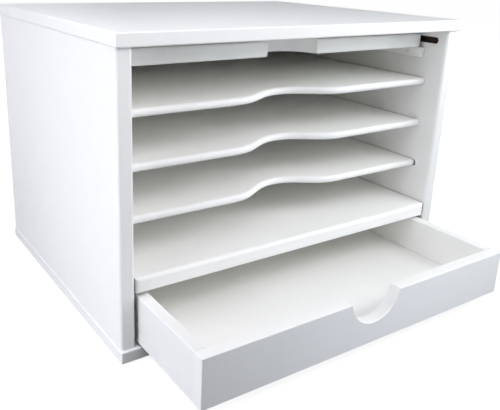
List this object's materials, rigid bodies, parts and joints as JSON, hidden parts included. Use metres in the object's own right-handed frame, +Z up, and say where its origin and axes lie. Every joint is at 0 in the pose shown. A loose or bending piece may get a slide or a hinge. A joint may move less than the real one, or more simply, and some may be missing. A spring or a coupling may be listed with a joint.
{
  "type": "desktop paper organizer",
  "caption": "White painted desktop paper organizer with scooped shelves, a pull-out drawer with a thumb notch and a front door stored flat under the top board.",
  "frame": {"origin": "bottom centre of the whole part as it stands, with the drawer partly out: middle of its width and depth, on the lower faces of its feet", "axes": "+X to the right seen from the front, +Y to the back, +Z up"},
  "size_m": [0.3556, 0.3674, 0.2535],
  "materials": {
    "white_painted_board": "white satin paint on fibreboard",
    "zinc_steel": "zinc plated",
    "dowel_wood": "plain beech",
    "glide_plastic": "smooth slippery strip",
    "grey_rubber": "matt"
  },
  "bodies": {
    "cabinet": {"top_panel": "white_painted_board", "base_panel": "white_painted_board", "left_side_panel": "white_painted_board", "right_side_panel": "white_painted_board", "back_panel": "white_painted_board", "upper_shelf": "white_painted_board", "middle_shelf": "white_painted_board", "lower_shelf": "white_painted_board", "divider_shelf": "white_painted_board", "left_door_rail": "white_painted_board", "right_door_rail": "white_painted_board", "top_dowels": "dowel_wood", "base_screws": "zinc_steel", "divider_dowels": "dowel_wood", "rail_screws": "zinc_steel", "back_panel_screws": "zinc_steel", "left_glide_strip": "glide_plastic", "right_glide_strip": "glide_plastic", "rubber_feet": "grey_rubber", "drawer_bumpers": "grey_rubber"},
    "door": {"door_panel": "white_painted_board", "left_door_pin": "zinc_steel", "right_door_pin": "zinc_steel"},
    "drawer": {"drawer_front": "white_painted_board", "drawer_left_side": "white_painted_board", "drawer_right_side": "white_painted_board", "drawer_back": "white_painted_board", "drawer_bottom": "white_painted_board", "drawer_front_dowels": "dowel_wood", "drawer_back_screws": "zinc_steel"}
  },
  "joints": [
    {"name": "drawer_slide", "type": "slide", "parent": "cabinet", "child": "drawer", "axis": [0, -1, 0], "range_m": [-0.0915, 0.1]},
    {"name": "door_slide", "type": "slide", "parent": "cabinet", "child": "door", "axis": [0, -1, 0], "range_m": [0, 0.1755]}
  ]
}
